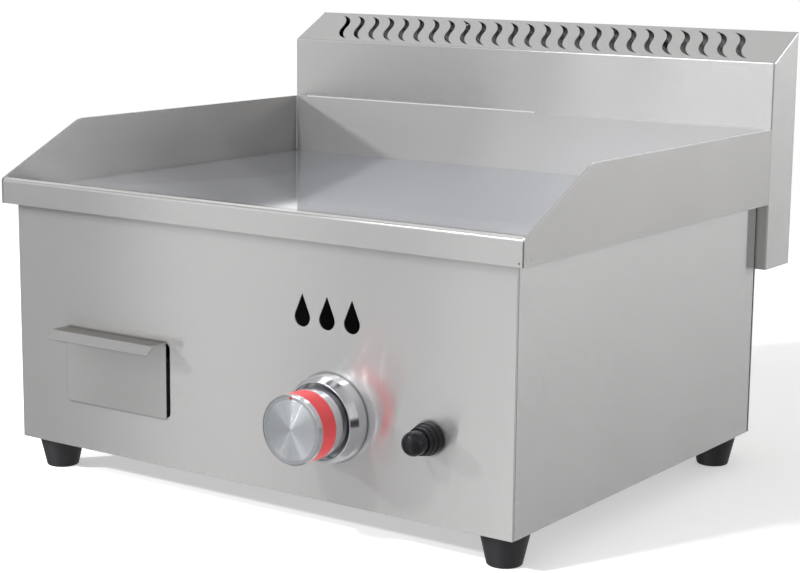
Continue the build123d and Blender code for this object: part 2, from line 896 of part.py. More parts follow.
def injector():
    """The brass jet in the valve's nose, with its fine orifice."""
    shank = injector_shank_radius
    hex_end = nose_end - injector_hex
    outline = polygon(
        [
            (orifice_radius, nose_end + injector_shank),
            (shank, nose_end + injector_shank),
            (shank, hex_end),
            (injector_tip_radius, hex_end),
            (injector_tip_radius, injector_end + orifice_radius),
            (injector_tip_radius - orifice_radius, injector_end),
            (orifice_radius, injector_end),
        ]
    )
    jet = turned(outline, knob_x, z_knob)
    hexagon = RegularPolygon(injector_width / 2, 6, major_radius=False) - Circle(shank)
    return jet + drawn_y(Pos(knob_x, z_knob) * hexagon, panel_y - nose_end, panel_y - hex_end)


def supply_pipe():
    """The gas pipe from the inlet at the rear to the valve's inlet boss."""
    top = z_knob - boss_drop + boss_socket - slide_clearance
    end = rear_y - inlet_socket_length / 2
    path = [
        (knob_x, boss_y, top),
        (knob_x, boss_y, z_pipe),
        (pipe_x, boss_y, z_pipe),
        (pipe_x, end, z_pipe),
    ]
    bends = [pipe_bend, pipe_bend]
    return swept(path, bends, pipe_radius) - swept(path, bends, pipe_radius - pipe_wall)


def inlet_fitting():
    """The threaded gas inlet through the rear panel, with a socket for the supply pipe."""
    end = -inlet_thread_length
    seat = body_sheet + inlet_flange_thickness
    bore = pipe_radius + thread_clearance
    stop = inlet_socket_length / 2 - slide_clearance
    outline = polygon(
        [
            (bore, inlet_socket_length),
            (inlet_socket_radius, inlet_socket_length),
            (inlet_socket_radius, seat),
            (inlet_flange_radius, seat),
            (inlet_flange_radius, body_sheet),
            (inlet_thread_radius, body_sheet),
            (inlet_thread_radius, -inlet_nut_height),
            (inlet_thread_radius - inlet_relief, -inlet_nut_height),
            (inlet_thread_radius - inlet_relief, -inlet_nut_height - inlet_relief),
            (inlet_thread_radius, -inlet_nut_height - inlet_relief),
            (inlet_thread_radius, end + inlet_chamfer),
            (inlet_thread_radius - inlet_chamfer, end),
            (inlet_bore, end),
            (inlet_bore, 0),
            (pipe_radius - pipe_wall, 0),
            (pipe_radius - pipe_wall, stop),
            (bore, stop),
        ]
    )
    return turned(outline, pipe_x, z_pipe, start=rear_y)


def inlet_nut():
    """The hexagonal lock nut that clamps the inlet to the rear panel."""
    outline = RegularPolygon(inlet_nut_width / 2, 6, major_radius=False)
    outline -= Circle(inlet_thread_radius + thread_clearance)
    return drawn_y(Pos(pipe_x, z_pipe) * outline, rear_y, rear_y + inlet_nut_height)


def knob_body():
    """The chromed knob: a shell with a groove for the red band, a hub and a seat for the face."""
    inner = knob_radius - knob_wall
    groove = knob_radius - ring_thickness
    seat = knob_reach - face_thickness
    web = seat - knob_web
    face_seat = face_radius + thread_clearance
    bore = stem_radius + thread_clearance
    outline = polygon(
        [
            (bore, hub_tail),
            (hub_radius, hub_tail),
            (hub_radius, web),
            (inner, web),
            (inner, knob_tail),
            (knob_radius, knob_tail),
            (knob_radius, ring_start),
            (groove, ring_start),
            (groove, ring_end),
            (knob_radius, ring_end),
            (knob_radius, knob_reach - knob_bevel),
            (knob_radius - knob_bevel, knob_reach),
            (face_seat, knob_reach),
            (face_seat, seat),
            (0, seat),
            (0, stem_seat + thread_clearance),
            (bore, stem_seat + thread_clearance),
        ]
    )
    knob = turned(outline, knob_x, z_knob)
    flat = block((knob_x - bore, knob_x + bore), (panel_y - stem_seat, panel_y - hub_tail),
                 (z_knob + stem_flat + thread_clearance, z_knob + bore))
    return knob + (flat & rod_y(knob_x, z_knob, hub_radius, panel_y - stem_seat, panel_y - hub_tail))


def knob_ring():
    """The red band round the knob."""
    outline = ring_outline(knob_radius - ring_thickness, knob_radius, ring_start, ring_end)
    return turned(outline, knob_x, z_knob)


def knob_face():
    """The spun disc on the knob's front, with a lower rim that has a pocket for the index dot."""
    low = knob_reach - face_thickness
    rim = knob_reach - spun_rise
    outline = polygon(
        [
            (0, low),
            (face_radius, low),
            (face_radius, rim - face_edge),
            (face_radius - face_edge, rim),
            (spun_radius + spun_rise, rim),
            (spun_radius, knob_reach),
            (0, knob_reach),
        ]
    )
    face = turned(outline, knob_x, z_knob)
    pocket = dot_radius + thread_clearance
    front = panel_y - rim
    return face - rod_y(knob_x, z_knob + dot_offset, pocket, front - dot_depth, front + dot_depth)


def knob_index():
    """The red dot that shows where the knob points."""
    front = panel_y - knob_reach + spun_rise
    return rod_y(knob_x, z_knob + dot_offset, dot_radius, front, front + dot_depth)


def knob_bezel():
    """The shouldered chrome collar on the panel that the knob sits in."""
    corner = bezel_wall / 3
    outline = polygon(
        [
            (bezel_radius, 0),
            (bezel_shoulder_radius, bezel_shoulder),
            (bezel_rim, bezel_length),
            (bezel_rim - bezel_wall, bezel_length),
            (bezel_shoulder_radius - 2 * bezel_wall, bezel_shoulder),
            (bezel_radius - 2 * bezel_wall, 0),
        ],
        [0, bezel_wall, corner, corner, bezel_wall, 0],
    )
    return turned(outline, knob_x, z_knob)


def igniter_body():
    """The igniter's case: a neck through the panel, a flange behind it and a barrel with a terminal."""
    back = -body_sheet
    flange_end = back - igniter_flange
    barrel_end = -igniter_length
    chamber_end = -(button_tail + button_travel + spring_room)
    bore = button_radius + button_clearance
    outline = polygon(
        [
            (bore, neck_reach),
            (neck_radius, neck_reach),
            (neck_radius, back),
            (igniter_flange_radius, back),
            (igniter_flange_radius, flange_end),
            (igniter_radius, flange_end),
            (igniter_radius, barrel_end),
            (terminal_radius, barrel_end),
            (terminal_radius, barrel_end - terminal_length),
            (0, barrel_end - terminal_length),
            (0, chamber_end),
            (bore, chamber_end),
        ]
    )
    return turned(outline, igniter_x, z_igniter)


def igniter_nut():
    """The nut that holds the igniter, which narrows in three rounded steps."""
    lip = neck_reach + slide_clearance
    bore = neck_radius + thread_clearance
    mouth = button_radius + 2 * slide_clearance
    step = (nut_radius - mouth) / 3
    first = nut_reach * 0.42
    second = nut_reach * 0.72
    outline = polygon(
        [
            (bore, 0),
            (nut_radius, 0),
            (nut_radius, first),
            (nut_radius - step, first),
            (nut_radius - step, second),
            (nut_radius - 2 * step, second),
            (nut_radius - 2 * step, nut_reach),
            (mouth, nut_reach),
            (mouth, lip),
            (bore, lip),
        ],
        [0, 0, step * 0.9, 0, step * 0.9, 0, step * 0.9, 0, 0, 0],
    )
    return turned(outline, igniter_x, z_igniter)


def igniter_button():
    """The push button with its domed end."""
    outline = ring_outline(0, button_radius, -button_tail, button_reach, [0, 0, button_dome, 0])
    return turned(outline, igniter_x, z_igniter)


def electrode_bracket():
    """The angle on the front burner bar that holds the electrode."""
    front = bar_front_y - bar_sheet / 2
    x = (electrode_x - bracket_width / 2, electrode_x + bracket_width / 2)
    high = z_shield + bar_sheet + bracket_height
    bracket = block(x, (front - bracket_sheet, front), (high - bracket_height, high))
    shelf_y = (electrode_y - bracket_width / 2, front)
    low = high - bracket_height
    bracket += block(x, shelf_y, (low, low + bracket_sheet))
    return bracket - rod_z(electrode_x, electrode_y, ceramic_radius + hole_clearance, low - bend, high)


def electrode_seat():
    """The height of the bracket's shelf."""
    return z_shield + bar_sheet + bracket_sheet


def electrode_ceramic():
    """The insulator, with a collar that rests on the bracket."""
    outline = polygon(
        [
            (electrode_wire, -ceramic_below),
            (ceramic_radius, -ceramic_below),
            (ceramic_radius, 0),
            (ceramic_collar_radius, 0),
            (ceramic_collar_radius, ceramic_collar),
            (ceramic_radius, ceramic_collar),
            (ceramic_radius, ceramic_above),
            (electrode_wire, ceramic_above),
        ]
    )
    return upright(outline, electrode_x, electrode_y, electrode_seat())


def electrode_rod():
    """The spark wire, bent over the burner tube."""
    low = electrode_seat() - ceramic_below
    high = z_burner + tube_radius + spark_gap
    path = [
        (electrode_x, electrode_y, low),
        (electrode_x, electrode_y, high),
        (electrode_x - electrode_tip_reach, electrode_y, high),
    ]
    return swept(path, [electrode_bend], electrode_wire - thread_clearance)


def ignition_lead():
    """The high-tension lead from the igniter's terminal up to the electrode."""
    start_y = panel_y + igniter_length + terminal_length
    end_z = electrode_seat() - ceramic_below
    path = [
        (igniter_x, start_y, z_igniter),
        (igniter_x, start_y + lead_run, z_igniter),
        (electrode_x, electrode_y, z_igniter),
        (electrode_x, electrode_y, end_z),
    ]
    return swept(path, [lead_bend, lead_bend], lead_radius)


def foot(x, y):
    """A tapered rubber foot, recessed below for its screw."""
    hole = foot_screw_radius + hole_clearance
    outline = polygon(
        [
            (hole, foot_height),
            (foot_top_radius, foot_height),
            (foot_low_radius, 0),
            (foot_recess_radius, 0),
            (foot_recess_radius, foot_recess_depth),
            (hole, foot_recess_depth),
        ],
        [0, foot_round, foot_round, 0, 0, 0],
    )
    return upright(outline, x, y, 0)


def foot_screws():
    """The four screws that hold the feet."""
    length = z_floor + foot_nut_height + 2 * thread_clearance - foot_recess_depth
    head = polygon(
        [
            (0, -foot_screw_head_height),
            (foot_screw_head_radius, -foot_screw_head_height),
            (foot_screw_head_radius, 0),
            (0, 0),
        ],
        [0, foot_screw_head_height / 2, 0, 0],
    )
    outline = head + ring_outline(0, foot_screw_radius, 0, length)
    return Compound([upright(outline, x, y, foot_recess_depth).solid() for _, x, y in foot_places])


def foot_nuts():
    """The four nuts on the base plate."""
    outline = RegularPolygon(foot_nut_width / 2, 6, major_radius=False)
    outline -= Circle(foot_screw_radius + thread_clearance)
    nuts = [drawn_z(Pos(x, y) * outline, z_floor, z_floor + foot_nut_height) for _, x, y in foot_places]
    return Compound([nut.solid() for nut in nuts])


parts = {
    "front_panel": front_panel(),
    "right_side_panel": side_panel(),
    "left_side_panel": mirrored(side_panel()),
    "base_plate": base_plate(),
    "rear_panel": rear_panel(),
    "rear_panel_screws": rear_panel_screws(),
    "front_rim": front_rim(),
    "griddle_plate": griddle_plate(),
    "right_splash": side_splash(),
    "left_splash": mirrored(side_splash()),
    "rear_splash": rear_splash(),
    "flue_hood": flue_hood(),
    "flue_back": flue_back(),
    "flue_screws": flue_screws(),
    "drain_spout": drain_spout(),
    "drawer_front": drawer_front(),
    "drawer_tray": drawer_tray(),
    "drawer_runner_right": drawer_runner(1),
    "drawer_runner_left": drawer_runner(-1),
    "burner_tube_right": burner_tube(),
    "burner_tube_left": mirrored(burner_tube()),
    "burner_cross_tube": burner_cross_tube(),
    "mixing_tube": mixing_tube(),
    "air_shutter": air_shutter(),
    "burner_bar_front": burner_bar(bar_front_y, bar_front_y + bar_flange),
    "burner_bar_rear": burner_bar(bar_rear_y, bar_rear_y - bar_flange),
    "heat_shield": heat_shield(),
    "valve_bonnet": valve_bonnet(),
    "bonnet_screws": bonnet_screws(),
    "valve_body": valve_body(),
    "valve_plug": valve_plug(),
    "valve_stem": valve_stem(),
    "injector": injector(),
    "supply_pipe": supply_pipe(),
    "inlet_fitting": inlet_fitting(),
    "inlet_nut": inlet_nut(),
    "knob_body": knob_body(),
    "knob_ring": knob_ring(),
    "knob_face": knob_face(),
    "knob_index": knob_index(),
    "knob_bezel": knob_bezel(),
    "igniter_body": igniter_body(),
    "igniter_nut": igniter_nut(),
    "igniter_button": igniter_button(),
    "electrode_bracket": electrode_bracket(),
    "electrode_ceramic": electrode_ceramic(),
    "electrode_rod": electrode_rod(),
    "ignition_lead": ignition_lead(),
    "foot_screws": foot_screws(),
    "foot_nuts": foot_nuts(),
}
for place, foot_place_x, foot_place_y in foot_places:
    parts["foot_" + place] = foot(foot_place_x, foot_place_y)

os.makedirs("parts", exist_ok=True)
for name, shape in parts.items():
    export_step(shape, "parts/" + name + ".step")
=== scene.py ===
import json
import math

import bmesh
import bpy
from mathutils import Matrix, Vector


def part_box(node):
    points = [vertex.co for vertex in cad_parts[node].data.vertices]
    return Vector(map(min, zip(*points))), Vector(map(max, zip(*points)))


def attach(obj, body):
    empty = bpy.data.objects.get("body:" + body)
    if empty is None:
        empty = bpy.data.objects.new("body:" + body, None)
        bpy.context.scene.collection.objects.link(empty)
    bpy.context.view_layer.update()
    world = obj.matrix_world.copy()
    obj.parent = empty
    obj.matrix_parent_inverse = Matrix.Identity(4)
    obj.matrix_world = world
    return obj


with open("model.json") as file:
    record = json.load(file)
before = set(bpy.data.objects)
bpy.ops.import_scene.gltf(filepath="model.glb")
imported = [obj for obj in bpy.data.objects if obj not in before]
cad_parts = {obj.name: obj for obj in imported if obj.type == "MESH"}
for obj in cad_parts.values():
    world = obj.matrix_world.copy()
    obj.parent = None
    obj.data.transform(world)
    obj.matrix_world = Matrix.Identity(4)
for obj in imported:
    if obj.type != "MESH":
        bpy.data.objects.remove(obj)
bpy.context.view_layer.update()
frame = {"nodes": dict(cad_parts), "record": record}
scene = bpy.context.scene
scene.view_settings.view_transform = "Standard"

# The camera fitted to the photograph: pixels, millimetres of sensor, metres and degrees
FOCAL_PX = 1945.14
WIDTH_PX = 800
SENSOR = 36.0
EYE = Vector((0.9221, -1.3018, 0.4487))
YAW = 35.03
PITCH = 10.52
ROLL = 0.56

# The point that the lamps look at
LIT_POINT = Vector((0, 0, 0.15))


def make_camera():
    """A camera at the photograph's viewing point."""
    yaw, pitch, roll = (math.radians(angle) for angle in (YAW, PITCH, ROLL))
    forward = Vector((-math.sin(yaw) * math.cos(pitch), math.cos(yaw) * math.cos(pitch), -math.sin(pitch)))
    level = Vector((math.cos(yaw), math.sin(yaw), 0))
    upright = level.cross(forward)
    right = math.cos(roll) * level + math.sin(roll) * upright
    up = math.cos(roll) * upright - math.sin(roll) * level
    data = bpy.data.cameras.new("camera")
    data.sensor_width = SENSOR
    data.lens = FOCAL_PX * SENSOR / WIDTH_PX
    camera = bpy.data.objects.new("camera", data)
    turn = Matrix((right, up, -forward)).transposed()
    camera.matrix_world = Matrix.Translation(EYE) @ turn.to_4x4()
    scene.collection.objects.link(camera)
    scene.camera = camera


class Nodes:
    """A short way to add and join shader nodes."""

    def __init__(self, tree):
        self.tree = tree

    def add(self, kind, inputs=None, **settings):
        node = self.tree.nodes.new(kind)
        for key, value in settings.items():
            setattr(node, key, value)
        for key, value in (inputs or {}).items():
            self.put(node.inputs[key], value)
        return node

    def put(self, socket, value):
        if isinstance(value, bpy.types.NodeSocket):
            self.tree.links.new(value, socket)
        else:
            socket.default_value = value

    def math(self, operation, *values):
        node = self.add("ShaderNodeMath", operation=operation)
        for socket, value in zip(node.inputs, values):
            self.put(socket, value)
        return node.outputs[0]

    def vector(self, operation, *values):
        node = self.add("ShaderNodeVectorMath", operation=operation)
        for socket, value in zip(node.inputs, values):
            self.put(socket, value)
        return node.outputs[0]

    def range(self, value, low, high, new_low, new_high, smooth=False):
        kind = "SMOOTHSTEP" if smooth else "LINEAR"
        inputs = {"Value": value, "From Min": low, "From Max": high, "To Min": new_low, "To Max": new_high}
        return self.add("ShaderNodeMapRange", inputs, interpolation_type=kind).outputs["Result"]

    def noise(self, vector, scale, detail=3.0, roughness=0.5):
        inputs = {"Vector": vector, "Scale": scale, "Detail": detail, "Roughness": roughness}
        return self.add("ShaderNodeTexNoise", inputs).outputs["Fac"]

    def mix(self, factor, a, b):
        node = self.add("ShaderNodeMix", data_type="RGBA")
        self.put(node.inputs[0], factor)
        self.put(node.inputs[6], a)
        self.put(node.inputs[7], b)
        return node.outputs[2]

    def stretched(self, place, stretch, detail, roughness=0.5):
        """Noise with its own fineness along each axis."""
        return self.noise(self.vector("MULTIPLY", place, stretch), 1.0, detail, roughness)

    def bumped(self, shader, strength, distance, height, normal):
        """Gives a shader a fine relief on top of a normal."""
        inputs = {"Strength": strength, "Distance": distance, "Height": height, "Normal": normal}
        self.put(shader.inputs["Normal"], self.add("ShaderNodeBump", inputs).outputs[0])


def new_material(name):
    """An empty material with a Principled shader."""
    material = bpy.data.materials.new(name)
    material.use_nodes = True
    nodes = Nodes(material.node_tree)
    shader = material.node_tree.nodes["Principled BSDF"]
    return material, nodes, shader


def grey(value, tint=0.0):
    """A grey, a little warm for a positive tint and a little blue for a negative one."""
    return (value * (1 + tint), value, value * (1 - tint), 1)


def shade(colour, factor):
    """A colour made darker or lighter."""
    return tuple(min(c * factor, 1.0) for c in colour[:3]) + (1,)


def rounded(nodes, radius):
    """The normal with edges rounded off, and how near an edge lies."""
    soft = nodes.add("ShaderNodeBevel", {"Radius": radius}, samples=4).outputs["Normal"]
    normal = nodes.add("ShaderNodeNewGeometry").outputs["Normal"]
    likeness = nodes.add("ShaderNodeVectorMath", {0: soft, 1: normal}, operation="DOT_PRODUCT")
    return soft, nodes.range(likeness.outputs["Value"], 0.99, 0.85, 0.0, 1.0)


def crevices(nodes, reach, power, alone=False):
    """How open a place lies, for painting shade into hollows: 1 on a free face, near 0 in hollows, of the
    piece alone or of all pieces.
    """
    hidden = nodes.add("ShaderNodeAmbientOcclusion", {"Distance": reach}, samples=8, only_local=alone)
    return nodes.math("POWER", hidden.outputs["AO"], power)


def fine_tilt(nodes, place, stretch, spread):
    """A random tilt that changes within a hair's breadth: mostly slight, at times strong."""
    steepest = 0.3
    part = nodes.math("SUBTRACT", nodes.stretched(place, stretch, 1.0), 0.5)
    tilt = nodes.math("MULTIPLY", nodes.math("POWER", part, 3.0), spread)
    return nodes.range(tilt, -steepest, steepest, -steepest, steepest)


def scratched_normal(nodes, place, flat, soft, lean, grain):
    """The normal of brushed sheet, tilted across its level scratches; lean turns it aside."""
    upright = nodes.math("SUBTRACT", 1.0, flat)
    upward = nodes.math("MULTIPLY", fine_tilt(nodes, place, (700, 700, 30000), grain), upright)
    backward = nodes.math("MULTIPLY", fine_tilt(nodes, place, (700, 30000, 700), grain), flat)
    scratch = nodes.add("ShaderNodeCombineXYZ", {"X": lean, "Y": backward, "Z": upward}).outputs[0]
    return nodes.vector("NORMALIZE", nodes.vector("ADD", soft, scratch))


def shade_handle_ledge(nodes, shader, rise, steel, satin):
    """The colour of a sheet whose upward ledge is darkened with painted shade, its reflection dimmed too;
    its bent lip is rubbed dull.
    """
    # painted shade: faces that look up, such as the handle's top, get a darker colour and a dimmer
    # reflection
    ledge = nodes.range(rise, 0.85, 0.97, 0.0, 1.0)
    nodes.put(shader.inputs["Specular Tint"], nodes.mix(ledge, grey(1.0), grey(0.55, 0.03)))
    nodes.put(shader.inputs["Metallic"], nodes.range(rise, 0.4, 0.6, 1 - satin, 0.91))
    return nodes.mix(ledge, steel, grey(0.32, 0.03))


def brushed_steel(name, tone, tint, roughness, lean=0.0, shade_reach=0.0025, shade_grey=0.05, grain=50.0, satin=0.15,
                  alone=False, handled=False):
    """Sheet steel brushed along the level, so that reflections draw out up and down, with painted shade
    darkening its hollows and seams.
    """
    material, nodes, shader = new_material(name)
    place = nodes.add("ShaderNodeTexCoord").outputs["Object"]
    normal = nodes.add("ShaderNodeNewGeometry").outputs["Normal"]
    rise = nodes.add("ShaderNodeSeparateXYZ", {0: normal}).outputs["Z"]
    flat = nodes.range(nodes.math("ABSOLUTE", rise), 0.6, 0.8, 0.0, 1.0)
    level = nodes.stretched(place, (8, 8, 2600), 3.0, 0.6)
    across = nodes.stretched(place, (8, 2600, 8), 3.0, 0.6)
    lines = nodes.add("ShaderNodeMix", {0: flat, 2: level, 3: across}, data_type="FLOAT").outputs[0]
    clouds = nodes.noise(place, 8.0, 4.0)
    soft, edge = rounded(nodes, 0.0004)
    steel = nodes.mix(lines, grey(tone * 0.97, tint), grey(tone * 1.03, tint))
    steel = nodes.mix(nodes.math("MULTIPLY", edge, 0.35), steel, grey(min(tone * 1.25, 0.9), tint))
    # painted shade: the colour darkens in hollows and seams, where shade falls
    steel = nodes.mix(crevices(nodes, shade_reach, 1.2, alone), grey(shade_grey, 0.04), steel)
    shader.inputs["Metallic"].default_value = 1 - satin
    if handled:
        steel = shade_handle_ledge(nodes, shader, rise, steel, satin)
    nodes.put(shader.inputs["Base Color"], steel)
    worn = nodes.range(lines, 0.25, 0.75, roughness - 0.012, roughness + 0.012)
    worn = nodes.math("ADD", worn, nodes.range(clouds, 0.3, 0.7, -0.012, 0.012))
    worn = nodes.math("ADD", worn, nodes.math("MULTIPLY", edge, 0.3))
    nodes.put(shader.inputs["Roughness"], worn)
    scratched = scratched_normal(nodes, place, flat, soft, lean, grain)
    nodes.bumped(shader, 0.1, 0.0005, nodes.noise(place, 5.0, 1.0), scratched)
    shader.inputs["Anisotropic"].default_value = 1.0
    tangent = nodes.add("ShaderNodeCombineXYZ", {"X": 0.0, "Y": 0.02, "Z": 1.0})
    nodes.put(shader.inputs["Tangent"], tangent.outputs[0])
    return material


def polished_plate():
    """Ground and polished steel with faint wiping marks, with painted shade as a dark strip along the
    plate's front edge.
    """
    material, nodes, shader = new_material("polished_plate")
    dark = (0.51, 0.53, 0.58, 1)
    light = (0.55, 0.57, 0.62, 1)
    roughness = 0.06
    satin = 0.26
    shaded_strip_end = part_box("griddle_plate")[0].y + 0.018
    fade = 0.0015
    place = nodes.add("ShaderNodeTexCoord").outputs["Object"]
    streaks = nodes.stretched(place, (4, 300, 300), 4.0)
    clouds = nodes.noise(place, 9.0, 4.0)
    soft, edge = rounded(nodes, 0.0006)
    steel = nodes.mix(clouds, dark, light)
    # painted shade: a dark strip along the plate's front edge, standing in for the shaded gutter in front
    # of it
    back = nodes.add("ShaderNodeSeparateXYZ", {0: place}).outputs["Y"]
    unshaded = nodes.range(back, shaded_strip_end - fade, shaded_strip_end + fade, 0.0, 1.0, smooth=True)
    steel = nodes.mix(unshaded, grey(0.3, -0.04), steel)
    steel = nodes.mix(nodes.math("MULTIPLY", edge, 0.3), steel, shade(light, 1.15))
    # painted shade: the plate's colour darkens in hollows, where shade falls
    steel = nodes.mix(crevices(nodes, 0.0008, 1.0), shade(dark, 0.7), steel)
    nodes.put(shader.inputs["Base Color"], steel)
    worn = nodes.range(clouds, 0.3, 0.7, roughness * 0.8, roughness * 1.2)
    worn = nodes.math("ADD", worn, nodes.range(streaks, 0.3, 0.7, 0.0, 0.015))
    nodes.put(shader.inputs["Roughness"], nodes.math("ADD", worn, nodes.math("MULTIPLY", edge, 0.1)))
    nodes.bumped(shader, 0.012, 0.0002, streaks, soft)
    shader.inputs["Metallic"].default_value = 1 - satin
    return material


def middle(node):
    """The middle of a CAD node's box."""
    low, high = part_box(node)
    return tuple((a + b) / 2 for a, b in zip(low, high))


def spun_metal():
    """Aluminium turned on a lathe, with fine rings that make light and dark sectors, and a plainer rim."""
    material, nodes, shader = new_material("spun_metal")
    low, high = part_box("knob_face")
    rim = (high[0] - low[0]) / 2 * 0.9
    place = nodes.add("ShaderNodeTexCoord").outputs["Object"]
    offset = nodes.vector("SUBTRACT", place, middle("knob_face"))
    reach = nodes.vector("MULTIPLY", offset, (1, 0, 1))
    radius = nodes.add("ShaderNodeVectorMath", {0: reach}, operation="LENGTH").outputs["Value"]
    outward = nodes.vector("NORMALIZE", reach)
    rings = nodes.add("ShaderNodeTexNoise", {"W": nodes.math("MULTIPLY", radius, 3000), "Detail": 3.0},
                      noise_dimensions="1D").outputs["Fac"]
    plain = nodes.range(radius, rim - 0.0002, rim + 0.0002, 0.0, 1.0)
    spun = nodes.mix(rings, grey(0.88, -0.04), grey(0.96, -0.04))
    soft, edge = rounded(nodes, 0.0003)
    metal = nodes.mix(plain, spun, grey(0.7, -0.04))
    nodes.put(shader.inputs["Base Color"], nodes.mix(nodes.math("MULTIPLY", edge, 0.5), metal, grey(0.8)))
    worn = nodes.range(rings, 0.3, 0.7, 0.16, 0.22)
    nodes.put(shader.inputs["Roughness"], nodes.math("ADD", worn, nodes.math("MULTIPLY", plain, 0.1)))
    turning = nodes.math("SUBTRACT", nodes.stretched(place, (40000, 40000, 40000), 1.0), 0.5)
    turning = nodes.math("MULTIPLY_ADD", turning, 4.0, 0.13)
    turning = nodes.math("MULTIPLY", turning, nodes.range(plain, 0.0, 1.0, 1.0, 0.1))
    furrow = nodes.add("ShaderNodeVectorMath", {0: outward, "Scale": turning}, operation="SCALE")
    furrowed = nodes.vector("ADD", soft, furrow.outputs["Vector"])
    nodes.put(shader.inputs["Normal"], nodes.vector("NORMALIZE", furrowed))
    shader.inputs["Metallic"].default_value = 1.0
    shader.inputs["Anisotropic"].default_value = 0.97
    nodes.put(shader.inputs["Tangent"], outward)
    return material


def plain_metal(name, colour, roughness, mottle=0.06, scale=60.0, shade_reach=0.004, satin=0.0):
    """A machined, plated or dull metal, with a mottled finish, brighter edges and painted shade in its
    hollows.
    """
    material, nodes, shader = new_material(name)
    place = nodes.add("ShaderNodeTexCoord").outputs["Object"]
    clouds = nodes.noise(place, scale, 4.0)
    fine = nodes.noise(place, scale * 25, 2.0)
    soft, edge = rounded(nodes, 0.0003)
    metal = nodes.mix(clouds, shade(colour, 1 - mottle), shade(colour, 1 + mottle))
    metal = nodes.mix(nodes.math("MULTIPLY", edge, 0.4), metal, shade(colour, 1.3))
    # painted shade: the colour turns nearly black in hollows, where shade falls
    metal = nodes.mix(crevices(nodes, shade_reach, 1.3), shade(colour, 0.08), metal)
    nodes.put(shader.inputs["Base Color"], metal)
    worn = nodes.range(clouds, 0.3, 0.7, roughness * 0.85, roughness * 1.15)
    nodes.put(shader.inputs["Roughness"], worn)
    nodes.bumped(shader, 0.25 * roughness, 0.0001, fine, soft)
    shader.inputs["Metallic"].default_value = 1 - satin
    return material


def moulded(name, colour, roughness, pebble, rub=0.5, gloss=0.5):
    """Plastic, rubber or ceramic, with a fine surface grain and paler rubbed edges."""
    material, nodes, shader = new_material(name)
    place = nodes.add("ShaderNodeTexCoord").outputs["Object"]
    clouds = nodes.noise(place, 45.0, 4.0)
    soft, edge = rounded(nodes, 0.0004)
    paint = nodes.mix(clouds, shade(colour, 0.9), shade(colour, 1.1))
    rubbed = tuple(c * 1.25 + 0.01 for c in colour) + (1,)
    nodes.put(shader.inputs["Base Color"], nodes.mix(nodes.math("MULTIPLY", edge, rub), paint, rubbed))
    nodes.put(shader.inputs["Roughness"], nodes.range(clouds, 0.3, 0.7, roughness * 0.88, roughness * 1.12))
    shader.inputs["Specular IOR Level"].default_value = gloss
    nodes.bumped(shader, pebble, 0.0003, nodes.noise(place, 900.0, 2.0), soft)
    return material


def make_materials():
    """Each slot of the record, with its material."""
    return {
        "body_steel": brushed_steel("body_steel", 0.68, 0.006, 0.15),
        "plate_steel": polished_plate(),
        "inner_steel": plain_metal("inner_steel", (0.5, 0.51, 0.52), 0.45, mottle=0.12, scale=25.0),
        "burner_steel": plain_metal("burner_steel", (0.36, 0.34, 0.32), 0.5, mottle=0.15, scale=30.0),
        "fastener_steel": plain_metal("fastener_steel", (0.6, 0.6, 0.6), 0.28),
        "knob_chrome": plain_metal("knob_chrome", (0.87, 0.88, 0.92), 0.19, mottle=0.02, shade_reach=0.0015),
        "knob_aluminium": spun_metal(),
        "knob_red": moulded("knob_red", (0.88, 0.09, 0.1), 0.42, 0.05),
        "igniter_black": moulded("igniter_black", (0.005, 0.005, 0.008), 0.32, 0.12, rub=0.1, gloss=0.45),
        "igniter_case": moulded("igniter_case", (0.03, 0.03, 0.03), 0.5, 0.1),
        "foot_rubber": moulded("foot_rubber", (0.02, 0.019, 0.022), 0.45, 0.12),
        "gas_brass": plain_metal("gas_brass", (0.72, 0.5, 0.2), 0.3),
        "pipe_aluminium": plain_metal("pipe_aluminium", (0.66, 0.66, 0.67), 0.32),
        "ceramic": moulded("ceramic", (0.8, 0.77, 0.7), 0.25, 0.02),
        "lead_rubber": moulded("lead_rubber", (0.07, 0.05, 0.05), 0.45, 0.05),
    }


def dress(materials):
    """Gives every CAD node its material; a few sheets differ a little from the rest."""
    slots = {entry["node"]: entry["material_slot"] for entry in frame["record"]["subparts"]}
    # painted shade in hollows: deep and dark inside the flue hood, slight in the guards' corners
    flue = {"shade_reach": 0.03, "shade_grey": 0.12, "satin": 0.13, "alone": True}
    # the drawer's handle ledge gets painted shade
    drawer = {"lean": 0.065, "satin": 0.04, "handled": True}
    left = {"shade_reach": 0.001, "shade_grey": 0.4, "grain": 45.0, "satin": 0.0}
    rear = {"shade_reach": 0.001, "shade_grey": 0.5, "grain": 60.0, "satin": 0.4}
    sheets = {
        "flue_hood": brushed_steel("flue_steel", 0.66, 0.008, 0.15, **flue),
        "drawer_front": brushed_steel("drawer_steel", 0.69, 0.008, 0.1, **drawer),
        "right_splash": brushed_steel("guard_steel", 0.57, 0.012, 0.16),
        "left_splash": brushed_steel("inner_guard_steel", 0.52, 0.02, 0.16, **left),
        "rear_splash": brushed_steel("rear_guard_steel", 0.5, 0.004, 0.16, **rear),
        "knob_index": moulded("index_red", (0.35, 0.012, 0.03), 0.4, 0.03),
    }
    for name, node in frame["nodes"].items():
        node.data.materials.clear()
        node.data.materials.append(sheets.get(name) or materials[slots[name]])


def add_piece(name, mesh, material):
    """A mesh as a smooth piece that stays with the body of the griddle."""
    bmesh.ops.recalc_face_normals(mesh, faces=mesh.faces)
    data = bpy.data.meshes.new(name)
    mesh.to_mesh(data)
    mesh.free()
    data.shade_smooth()
    data.materials.append(material)
    piece = bpy.data.objects.new(name, data)
    scene.collection.objects.link(piece)
    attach(piece, "griddle")


